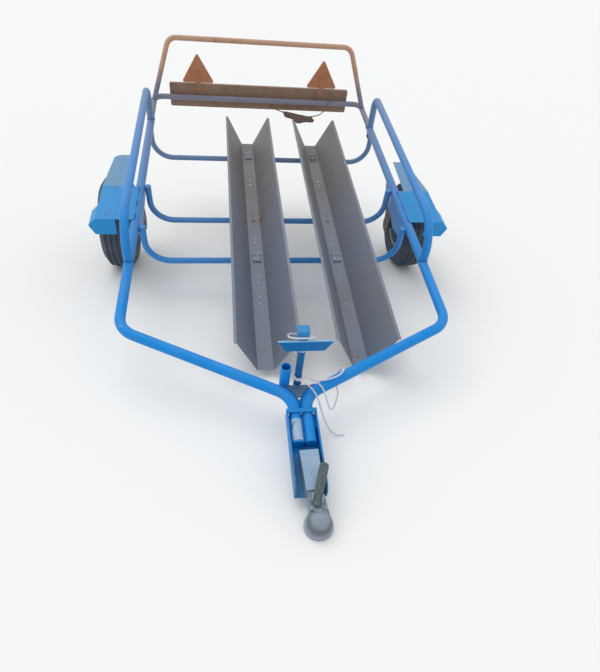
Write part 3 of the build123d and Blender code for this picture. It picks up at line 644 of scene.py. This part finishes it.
def make_fastener_tree():
    """A hexagon head on a washer, with a threaded end, on every point. Each point says its
    size and the way it faces."""
    tree, given, result = node_group(
        "hex_fastener", "GeometryNodeTree",
        [("Geometry", geometry, None), ("Head Height", number, 0.6), ("Washer Radius", number, 0.95),
         ("Thread Length", number, 0.0), ("Material", "NodeSocketMaterial", None)],
        [("Geometry", geometry)])
    head = put(tree, "GeometryNodeMeshCone", {"Vertices": 6, "Radius Top": 0.577, "Radius Bottom": 0.577})
    crown = put(tree, "GeometryNodeMeshCone", {"Vertices": 6, "Radius Top": 0.47, "Radius Bottom": 0.577,
                                               "Depth": 0.12})
    crown_place = put(tree, "GeometryNodeTransform")
    lift = put(tree, "ShaderNodeCombineXYZ")
    washer = put(tree, "GeometryNodeMeshCone", {"Vertices": 20, "Depth": 0.14})
    thread = put(tree, "GeometryNodeMeshCone", {"Vertices": 12, "Radius Top": 0.27, "Radius Bottom": 0.3})
    whole = put(tree, "GeometryNodeJoinGeometry")
    aim = put(tree, "GeometryNodeInputNamedAttribute", {"Name": "facing"}, data_type="FLOAT_VECTOR")
    size = put(tree, "GeometryNodeInputNamedAttribute", {"Name": "across_flats"}, data_type="FLOAT")
    turned = put(tree, "FunctionNodeAlignRotationToVector", axis="Z")
    place = put(tree, "GeometryNodeInstanceOnPoints")
    real = put(tree, "GeometryNodeRealizeInstances")
    paint = put(tree, "GeometryNodeSetMaterial")
    wire(tree, (given, "Head Height", head, "Depth"), (given, "Head Height", lift, "Z"),
         (lift, "Vector", crown_place, "Translation"), (crown, "Mesh", crown_place, "Geometry"),
         (given, "Washer Radius", washer, "Radius Top"), (given, "Washer Radius", washer, "Radius Bottom"),
         (given, "Thread Length", thread, "Depth"), (head, "Mesh", whole, "Geometry"),
         (crown_place, "Geometry", whole, "Geometry"), (washer, "Mesh", whole, "Geometry"),
         (thread, "Mesh", whole, "Geometry"), (aim, "Attribute", turned, "Vector"),
         (given, "Geometry", place, "Points"), (whole, "Geometry", place, "Instance"),
         (turned, "Rotation", place, "Rotation"), (size, "Attribute", place, "Scale"),
         (place, "Instances", real, "Geometry"), (real, "Geometry", paint, "Geometry"),
         (given, "Material", paint, "Material"), (paint, "Geometry", result, "Geometry"))
    return tree


def grown(name, data, tree, values):
    """Runs a geometry tree on a curve or a mesh and gives the plain mesh that it makes."""
    seed = placed(name + "_seed", data)
    maker = seed.modifiers.new("maker", "NODES")
    maker.node_group = tree
    for item in tree.interface.items_tree:
        if item.item_type == "SOCKET" and item.in_out == "INPUT" and item.name in values:
            maker[item.identifier] = values[item.name]
    view = bpy.context.evaluated_depsgraph_get()
    mesh = bpy.data.meshes.new_from_object(seed.evaluated_get(view))
    mesh.name = name
    bpy.data.objects.remove(seed)
    return mesh


weld_tree = make_weld_tree()
fastener_tree = make_fastener_tree()


def add_run(line, kind, places):
    """Adds one run of points to a curve."""
    run = line.splines.new(kind)
    run.points.add(len(places) - 1)
    for point, place in zip(run.points, places):
        point.co = (*place, 1.0)
    return run


def weld_seams(name, seams, radius, body):
    """One piece of weld beads for a list of seams."""
    line = bpy.data.curves.new(name, "CURVE")
    line.dimensions = "3D"
    for seam in seams:
        add_run(line, "POLY", seam)
    mesh = grown(name, line, weld_tree, {"Bead Radius": radius, "Spacing": radius * 1.1, "Seed": 3,
                                         "Material": weld_metal})
    piece(name, mesh, body)


def saddle(x, y, foot_r, way=1):
    """The seam where an upright tube stands on a main tube or hangs below it."""
    seam = []
    for turn in (*turns(24), 2 * pi):
        out = foot_r * cos(turn)
        seam.append((x + out, y + foot_r * sin(turn), way * sqrt(max(main_r ** 2 - out ** 2, 0.0))))
    return seam


def nose_seam(s):
    """The seam between the drawbar's web and one nose bend."""
    steps = 13
    reach = nose_bend_r + main_r + 0.0003
    rear_y = -1.7605
    front_y = -1.840
    web_top = 0.006
    seam = []
    for step in range(steps + 1):
        y = rear_y + (front_y - rear_y) * step / steps
        seam.append((s * (nose_bend_x - sqrt(reach ** 2 - (y - nose_bend_y) ** 2)), y, web_top))
    return seam


def hoop_seam(s):
    """The seam round a foot of the hoop, on the lamp frame's tube."""
    foot_x = 0.597
    foot_y = 0.2305
    crest_z = 0.0148
    dip = 0.0052
    seam = []
    for turn in (*turns(20), 2 * pi):
        seam.append((s * foot_x + 0.0135 * cos(turn), foot_y + 0.0142 * sin(turn),
                     crest_z - dip * cos(turn) ** 2))
    return seam


# A seam's middle stands a little off the tube that it lies on
seam_lift = 0.0005
inner_x = main_x - main_r - seam_lift
below_z = -(main_r + seam_lift)
cross_seam_gap = 0.008
cross_seam_low = -0.014
cross_seam_high = 0.006
hanger_seam_gap = 0.0045
hanger_front_y = -0.858
hanger_rear_y = -0.492
fender_seam_x = 0.5997
fender_seam_z = main_r + 2 * seam_lift
fender_seam_ys = (-0.890, -0.790, -0.690)
fender_seam_length = 0.030
cradle_seam_x = 0.041
jockey_seam_x = -0.0505
jockey_y = -1.7640
jockey_seam_top = 0.010
post_seam_r = post_r + seam_lift
chassis_seams = []
for side, s in sides:
    chassis_seams.append(saddle(s * main_x, rail_front_y, rail_r))
    chassis_seams.append(saddle(s * main_x, rail_rear_y, rail_r))
    chassis_seams.append(saddle(s * main_x, cross_rear_y, cross_r, way=-1))
    for y in cross_ys:
        for beside in (y - cross_seam_gap, y + cross_seam_gap):
            chassis_seams.append([(s * inner_x, beside, z) for z in (cross_seam_low, cross_seam_high)])
    chassis_seams.append(nose_seam(s))
    for x in (s * main_x - hanger_seam_gap, s * main_x + hanger_seam_gap):
        chassis_seams.append([(x, hanger_front_y, below_z), (x, hanger_rear_y, below_z)])
    x = s * fender_seam_x
    for start in fender_seam_ys:
        chassis_seams.append([(x, start, fender_seam_z), (x, start + fender_seam_length, fender_seam_z)])
    x = s * cradle_seam_x
    chassis_seams.append([(x, -1.885, 0.0045), (x, -1.925, 0.0045)])
# Between the coupling tubes, up the jockey sleeve and round the front of the post
chassis_seams.append([(0.0, -1.8465, 0.0085), (0.0, -1.8615, 0.0085)])
chassis_seams.append([(0.0, -1.8785, 0.0090), (0.0, -1.9740, 0.0090)])
chassis_seams.append([(jockey_seam_x, jockey_y, z) for z in (-jockey_seam_top, jockey_seam_top)])
chassis_seams.append([(post_seam_r * sin(turn), post_y - post_seam_r * cos(turn), 0.0055)
                      for turn in (-1.2, -0.8, -0.4, 0.0, 0.4, 0.8, 1.2)])
weld_seams("frame_welds", chassis_seams, 0.0032, "chassis")
weld_seams("hoop_welds", [hoop_seam(s) for side, s in sides], 0.0028, "lamp_frame")


def fasteners(name, places, facing, across_flats, shape, body, material):
    """Hexagon fasteners that face one way. Their shape is the head's height, the washer's radius
    and the thread's length, in sizes across flats."""
    cloud = bpy.data.meshes.new(name + "_points")
    cloud.from_pydata(places, [], [])
    cloud.attributes.new("facing", "FLOAT_VECTOR", "POINT")
    cloud.attributes.new("across_flats", "FLOAT", "POINT")
    for index in range(len(places)):
        cloud.attributes["facing"].data[index].vector = facing
        cloud.attributes["across_flats"].data[index].value = across_flats
    values = dict(zip(("Head Height", "Washer Radius", "Thread Length"), shape))
    piece(name, grown(name, cloud, fastener_tree, {**values, "Material": material}), body)


# Five nuts on each wheel
nut_count = 5
nut_start = 0.3
nut_circle_r = 0.049
hub_face_x = wheel_x + 0.0105
nut_size = 0.017
nut_shape = (0.8, 0.65, 1.1)
for side, s in sides:
    nuts = []
    for turn in turns(nut_count):
        angle = turn + nut_start
        nuts.append((s * hub_face_x, axle_y + nut_circle_r * cos(angle), axle_z + nut_circle_r * sin(angle)))
    fasteners(f"wheel_nuts_{side}", nuts, (float(s), 0.0, 0.0), nut_size, nut_shape, f"wheel_{side}",
              bolt_steel)


# A blank label on the left coupling tube
label_start_y = -1.896
label_length = 0.074
label_from = -62
label_sweep = 116
label_inner_r = main_r + 0.0001
label_outer_r = main_r + 0.0007


def tube_label():
    """A thin curved plate round the top of the tube."""
    rows = 11
    steps = 14
    section = [(label_inner_r, step) for step in range(steps + 1)]
    section.extend((label_outer_r, step) for step in range(steps, -1, -1))
    count = len(section)
    corners = []
    for row in range(rows):
        y = label_start_y - label_length * row / (rows - 1)
        for radius, step in section:
            angle = radians(label_from + label_sweep * step / steps)
            corners.append((radius * sin(angle) - coupling_tube_x, y, radius * cos(angle)))
    faces = skin(rows, count, closed=False)
    for ring in (0, (rows - 1) * count):
        for step in range(steps):
            faces.append((ring + step, ring + step + 1, ring + count - 2 - step, ring + count - 1 - step))
    return mesh_from("tube_label", corners, faces, label_foil)


piece("tube_label", tube_label(), "chassis")


# Rounded plates and blocks for the small parts

def rounded_block(name, centre, size, radius, material, body, turn=0.0, segments=3):
    """A block with rounded edges, turned about the upright line through its middle."""
    work = bmesh.new()
    bmesh.ops.create_cube(work, size=1.0)
    bmesh.ops.scale(work, vec=size, verts=work.verts)
    bmesh.ops.bevel(work, geom=work.edges[:] + work.verts[:], offset=radius, segments=segments, profile=0.5,
                    affect="EDGES")
    bmesh.ops.rotate(work, matrix=Matrix.Rotation(turn, 3, "Z"), verts=work.verts)
    bmesh.ops.translate(work, vec=centre, verts=work.verts)
    piece(name, finish_mesh(bpy.data.meshes.new(name), work, material, 40), body)


# Lamps: amber, red and clear fields behind a dark case. Each has its shift outwards and its width
lamp_x = 0.3825
lens_y = board_rear_y + 0.0365
lens_z = 0.006
lens_depth = 0.012
lens_height = 0.082
tab_x = 0.354
tab_y = board_front_y - 0.0042
tab_z = 0.060
lens_fields = (("amber", 0.072, 0.062, lens_amber), ("red", 0.0, 0.076, lens_red),
               ("clear", -0.070, 0.058, lens_clear))
for side, s in sides:
    for field, shift, width, lens in lens_fields:
        rounded_block(f"lamp_{field}_{side}", (s * (lamp_x + shift), lens_y, lens_z),
                      (width, lens_depth, lens_height), 0.004, lens, "lamp_frame")
    rounded_block(f"reflector_tab_head_{side}", (s * tab_x, tab_y, tab_z), (0.014, 0.004, 0.014), 0.0018,
                  bolt_steel, "lamp_frame")


# Clamp plates in the channels over the front and the rear cross tube, with four nuts each
channel_top = channel_floor + 0.0030
clamp_size = (0.037, 0.064, 0.0026)
clamp_nut_x = 0.0105
clamp_nut_y = 0.0185
for row, y in (("rear", cross_rear_y), ("front", cross_ys[0])):
    for (side, s), x in zip(sides, channel_xs):
        rounded_block(f"channel_clamp_{row}_{side}", (x, y, channel_top + 0.0014), clamp_size, 0.001,
                      channel_paint, "chassis")
        nuts = [(x + clamp_nut_x * across, y + clamp_nut_y * back, channel_top + 0.0027)
                for across in (-1, 1) for back in (-1, 1)]
        nut_metal = bolt_steel if (row, side) == ("rear", "right") else bolt_zinc
        fasteners(f"channel_nuts_{row}_{side}", nuts, up, 0.010, (0.5, 0.72, 0.7), "chassis", nut_metal)


def low_screws(name, places, radius, height, material):
    """Low round heads that face up, set a little into what they hold."""
    sunk = 0.0002
    work = bmesh.new()
    for x, y, z in places:
        made = bmesh.ops.create_cone(work, cap_ends=True, segments=20, radius1=radius, radius2=0.72 * radius,
                                     depth=height)
        bmesh.ops.translate(work, vec=(x, y, z - sunk + height / 2), verts=made["verts"])
    piece(name, finish_mesh(bpy.data.meshes.new(name), work, material, 35), "chassis")


fender_top = axle_z + 0.2295 + 0.0020
middle_screws = [(x, cross_ys[1] + beside, channel_top) for x in channel_xs for beside in (-0.021, 0.021)]
fender_screws = [(s * x, y, fender_top) for side, s in sides for x, y in ((0.700, -0.666), (0.716, -0.856))]
low_screws("channel_screws", middle_screws, 0.0072, 0.0020, channel_paint)
low_screws("fender_screws", fender_screws, 0.0070, 0.0028, bolt_steel)


# Lever: a pressed grip over the strip, and the boss ahead of it
lever_pin = (0.01087, -2.1633)
lever_way = radians(18.0)
lever_top_z = 0.0340


def lever_grip():
    """An inverted trough that follows the strip up to its rear end."""
    steps = 40
    start = -0.0228
    end = 0.0985
    neck_end = 0.0125
    neck_half = 0.0112
    neck_tip = 0.0240
    grip_half = 0.0131
    widening = 0.0006
    hem_low = -0.0065
    hem_high = 0.0002
    sheet = 0.0011
    round_end = 0.010
    climb = 0.020
    climb_start = 0.008
    climb_length = 0.088
    stations = []
    for step in range(steps + 1):
        run = start + (end - start) * step / steps
        rise = lever_top_z + climb * max(run - climb_start, 0.0) / climb_length
        half = neck_half if run < neck_end else grip_half + widening * step / steps
        ahead = run + neck_tip
        if ahead < neck_half:
            half = sqrt(neck_half ** 2 - (neck_half - ahead) ** 2)
        left = end - run
        if left < round_end:
            half *= sqrt(max(1.0 - ((round_end - left) / round_end) ** 2, 0.0)) * 0.55 + 0.45
        stations.append((run, rise, half, hem_low if run > neck_end else hem_high))
    corners = []
    for run, rise, half, hem in stations:
        outside = [(half, hem), (half, max(hem, -0.0008)), (half - 0.0004, 0.0006),
                   (half - 0.0016, 0.0016), (half - 0.0034, 0.0020)]
        inside = [(half - sheet, hem), (half - sheet, 0.0003)]
        section = [(-across, high) for across, high in outside] + [(0.0, 0.0023)] + outside[::-1]
        section.extend(inside + [(-across, high) for across, high in inside[::-1]])
        for across, high in section:
            x = lever_pin[0] + run * sin(lever_way) + across * cos(lever_way)
            y = lever_pin[1] + run * cos(lever_way) - across * sin(lever_way)
            corners.append((x, y, rise + high))
    count = len(section)
    faces = skin(len(stations), count, closed=False)
    last = (len(stations) - 1) * count
    for ring in (0, last):
        for cap in ((0, 1, 13, 14), (9, 10, 11, 12), (1, 2, 3, 4, 5, 6, 7, 8, 9, 12, 13)):
            faces.append(tuple(ring + index for index in cap))
    return mesh_from("lever_grip", corners, faces, lever_steel)


piece("lever_grip", lever_grip(), "chassis")
rounded_block("lever_boss", (0.0045, -2.1900, 0.0197), (0.034, 0.016, 0.010), 0.0045, head_casting,
              "chassis", turn=-lever_way, segments=4)


# Cords: each route's points are a smooth spline's control points

def cord_line(name, route, diameter, material, body):
    """A round cord along a smooth line."""
    line = bpy.data.curves.new(name, "CURVE")
    line.dimensions = "3D"
    line.resolution_u = 6
    line.bevel_depth = diameter / 2
    line.bevel_resolution = 3
    line.use_fill_caps = True
    line.materials.append(material)
    run = add_run(line, "NURBS", [level @ Vector(place) for place in route])
    run.order_u = 3
    run.use_endpoint_u = True
    made = placed(name, line)
    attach(made, body)
    return made


front_route = [
    (0.000, post_y + 0.0123, 0.197), (0.000, -1.722, 0.197), (-0.013, -1.711, 0.202), (-0.035, -1.714, 0.213),
    (-0.048, -1.734, 0.224), (-0.044, -1.757, 0.241), (-0.024, -1.771, 0.253), (0.005, -1.772, 0.254),
    (0.030, -1.759, 0.242), (0.039, -1.737, 0.219), (0.033, -1.716, 0.196), (0.014, -1.706, 0.166),
    (-0.006, -1.708, 0.132), (-0.018, -1.718, 0.099), (-0.019, -1.736, 0.071), (-0.019, -1.752, 0.057),
    (-0.013, -1.766, 0.051), (-0.001, -1.774, 0.052), (0.016, -1.777, 0.047), (0.034, -1.787, 0.034),
    (0.049, -1.804, 0.025), (0.062, -1.826, 0.008), (0.070, -1.840, -0.017), (0.080, -1.848, -0.049),
    (0.092, -1.860, -0.080), (0.108, -1.876, -0.102), (0.132, -1.888, -0.1154), (0.154, -1.885, -0.1161)]
loop_route = [
    (0.0123, post_y, 0.034), (0.025, post_y, 0.034), (0.043, -1.756, 0.031), (0.063, -1.772, 0.032),
    (0.079, -1.793, 0.026), (0.088, -1.813, 0.008), (0.096, -1.828, -0.017), (0.107, -1.832, -0.044),
    (0.122, -1.814, -0.062), (0.136, -1.786, -0.060), (0.146, -1.758, -0.046), (0.137, -1.731, -0.031),
    (0.141, -1.708, -0.015), (0.153, -1.698, 0.007), (0.161, -1.710, 0.026), (0.157, -1.729, 0.032),
    (0.141, -1.743, 0.029), (0.117, -1.753, 0.028), (0.092, -1.760, 0.028), (0.068, -1.758, 0.022),
    (0.048, -1.750, 0.014)]
for name, route, length in (("front_cord", front_route, 0.72), ("front_cord_loop", loop_route, 0.51)):
    made = cord_line(f"{name}_line", route, 0.005, cord_weave, "chassis")
    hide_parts(name)


# The cord's lashing: two turns at the post's foot and one below its plate
lashing_turns = ((0.034, 0.0020), (0.0395, -0.0015), (0.181, 0.0010))


def lashing():
    """Closed turns of cord round the post, each at its height and with its lean."""
    steps = 40
    sides_round = 10
    thickness = 0.0024
    radius = post_r + 0.0027
    corners = []
    faces = []
    for height, lean in lashing_turns:
        faces.extend(tuple(index + len(corners) for index in face) for face in skin(steps, sides_round))
        for turn in turns(steps):
            for about in turns(sides_round):
                out = radius + thickness * cos(about)
                corners.append((out * cos(turn), post_y + out * sin(turn),
                                height + thickness * sin(about) + lean * sin(turn)))
    return mesh_from("cord_lashing", corners, faces, cord_weave, sharp=80)


piece("cord_lashing", lashing(), "chassis")


# Lamp cable: out of the board, round the hank's loose turns and back into the board
hank_x = 0.232
hank_y = 0.274
hank_z = -0.095
hank_lean = radians(-9)
hank_count = 12
# Each turn takes a place that is this many on from the last one's
hank_stride = 7
fold_heights = 4
fold_r = 0.0235
fold_growth = 0.00275
fold_spacing = 0.0065
right_lowest = -0.0015
right_reach = 0.0685
right_middle = 0.004
left_lowest = 0.001
left_reach = 0.0725
left_top = 0.0205
front_lowest = -0.027
front_spacing = 0.0045
rear_lowest = -0.028
rear_spacing = 0.0043
# How far back and down the folds' plane runs, and how far back and up the turns rise from it
fold_back = 0.82
fold_down = 0.572
rise_back = 0.25
rise_up = 0.968
cable_route = [
    (0.409, board_front_y, 0.054), (0.409, 0.289, 0.054), (0.407, 0.272, 0.043), (0.403, 0.264, 0.020),
    (0.396, 0.263, -0.006), (0.385, 0.265, -0.031), (0.368, 0.269, -0.053), (0.345, 0.271, -0.070)]
cable_end = [
    (0.154, 0.270, -0.062), (0.118, 0.275, -0.052), (0.088, 0.276, -0.042), (0.066, 0.2925, -0.035),
    (0.066, board_front_y, -0.035)]


def cable_fold(middle, radius, rise, turns):
    """The control points round one end of the hank: how far out, how deep and how high."""
    return [(middle + radius * cos(radians(turn)), radius * sin(radians(turn)), rise) for turn in turns]


def cable_strand(start, end, rise, shift):
    """Three control points between two folds, which pass at a height of their own near the middle."""
    points = []
    for share, weight in ((0.25, 0.36), (0.5, 1.0), (0.75, 0.36)):
        out, deep, even = (a + (b - a) * (share + shift) for a, b in zip(start, end))
        points.append((out, deep * (1 - 0.1 * weight), even + (rise - (start[2] + end[2]) / 2) * weight))
    return points


def in_the_hank(out, deep, rise):
    """A place in the hank, whose folds lie in a plane that leans down to the rear."""
    back = fold_back * deep + rise_back * rise
    upright = rise_up * rise - fold_down * deep
    return (hank_x + out * cos(hank_lean) - upright * sin(hank_lean), hank_y + back,
            hank_z + out * sin(hank_lean) + upright * cos(hank_lean))


def hank_place(turn, first):
    """A turn's place among the others, from 0 to 11. The first turn's place is given."""
    return (hank_stride * turn + first) % hank_count


def fold_size(turn, lowest):
    """The radius and the height of a turn's fold: three sizes, each at four heights."""
    size, step = divmod(hank_place(turn, 11), fold_heights)
    return fold_r + fold_growth * size, lowest + fold_spacing * step


def right_fold(turn):
    """Where a turn folds at the hank's right end, furthest out at the middle of its height."""
    radius, rise = fold_size(turn, right_lowest)
    return right_reach - 0.9 * abs(rise - right_middle), radius, rise


def left_fold(turn):
    """Where a turn folds at the hank's left end, furthest out at its top."""
    radius, rise = fold_size(turn, left_lowest)
    return 0.8 * (left_top - rise) - left_reach, radius, rise


hank_points = []
for turn in range(hank_count):
    shift = 0.05 + 0.02 * (turn % 3 - 1)
    front_rise = front_lowest + front_spacing * hank_place(turn, 6)
    rear_rise = rear_lowest + rear_spacing * hank_place(turn, 7)
    right_end = cable_fold(*right_fold(turn), (90, 45, 0, -45, -90))
    left_end = cable_fold(*left_fold(turn), (-90, -135, 180, 135, 90))
    hank_points.extend(right_end + cable_strand(right_end[-1], left_end[0], front_rise, -shift))
    hank_points.extend(left_end + cable_strand(left_end[-1], right_fold(turn + 1), rear_rise, shift))
cable_route.extend(in_the_hank(*point) for point in hank_points[4:-8])
cable_route.extend(cable_end)
lamp_cable = cord_line("lamp_cable_line", cable_route, 0.006, cable_sheath, "lamp_frame")
for name in ("lamp_cable_right", "lamp_cable_left", "cable_hank"):
    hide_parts(name)


# Floor, light and camera

def plain_floor():
    """A pale floor that catches the shadow."""
    mesh = bpy.data.meshes.new("floor")
    reach = 400.0
    mesh.from_pydata([(-reach, -reach, 0), (reach, -reach, 0), (reach, reach, 0), (-reach, reach, 0)], [],
                     [(0, 1, 2, 3)])
    paint = bpy.data.materials.new("floor_paint")
    paint.use_nodes = True
    shader = paint.node_tree.nodes["Principled BSDF"]
    shader.inputs["Base Color"].default_value = (0.88, 0.88, 0.87, 1.0)
    shader.inputs["Roughness"].default_value = 0.9
    shader.inputs["Specular IOR Level"].default_value = 0.2
    mesh.materials.append(paint)
    placed("floor", mesh)


def soft_world():
    """Even light for the object, and a white background for the camera and for reflections."""
    world = bpy.data.worlds.new("studio")
    bpy.context.scene.world = world
    world.use_nodes = True
    tree = world.node_tree
    tree.nodes.clear()
    rays = put(tree, "ShaderNodeLightPath")
    first = put(tree, "ShaderNodeMath", operation="MAXIMUM")
    second = put(tree, "ShaderNodeMath", operation="MAXIMUM")
    light = put(tree, "ShaderNodeBackground", {"Color": (0.97, 0.985, 1.0, 1.0), "Strength": 0.82})
    white = put(tree, "ShaderNodeBackground", {"Color": (1.0, 1.0, 1.0, 1.0), "Strength": 1.0})
    either = put(tree, "ShaderNodeMixShader")
    out = put(tree, "ShaderNodeOutputWorld")
    wire(tree, (rays, "Is Camera Ray", first, 0), (rays, "Is Glossy Ray", first, 1),
         (first, "Value", second, 0), (rays, "Is Transmission Ray", second, 1),
         (second, "Value", either, 0), (light, "Background", either, 1),
         (white, "Background", either, 2), (either, "Shader", out, "Surface"))


def soft_sun(name, strength, spread, from_place):
    """A broad sun that shines from a place towards the middle of the trailer."""
    data = bpy.data.lights.new(name, "SUN")
    data.energy = strength
    data.angle = radians(spread)
    lamp = placed(name, data)
    lamp.rotation_euler = (-Vector(from_place)).to_track_quat("-Z", "Y").to_euler()


plain_floor()
soft_world()
soft_sun("key_light", 0.9, 50, (-1.0, 1.0, 3.2))

camera_data = bpy.data.cameras.new("camera")
camera_data.sensor_fit = "HORIZONTAL"
camera_data.sensor_width = 36.0
camera_data.lens = 31.21
camera = placed("camera", camera_data)
look = Vector((0.14180, 0.64801, -0.74831))
top = Vector((0.02132, 0.75378, 0.65678))
right = look.cross(top).normalized()
top = right.cross(look).normalized()
stand = Matrix((right, top, -look.normalized())).transposed().to_4x4()
stand.translation = (-0.23166, -2.75072, 1.39521)
camera.matrix_world = level @ stand
bpy.context.scene.camera = camera
bpy.context.scene.view_settings.view_transform = "Standard"
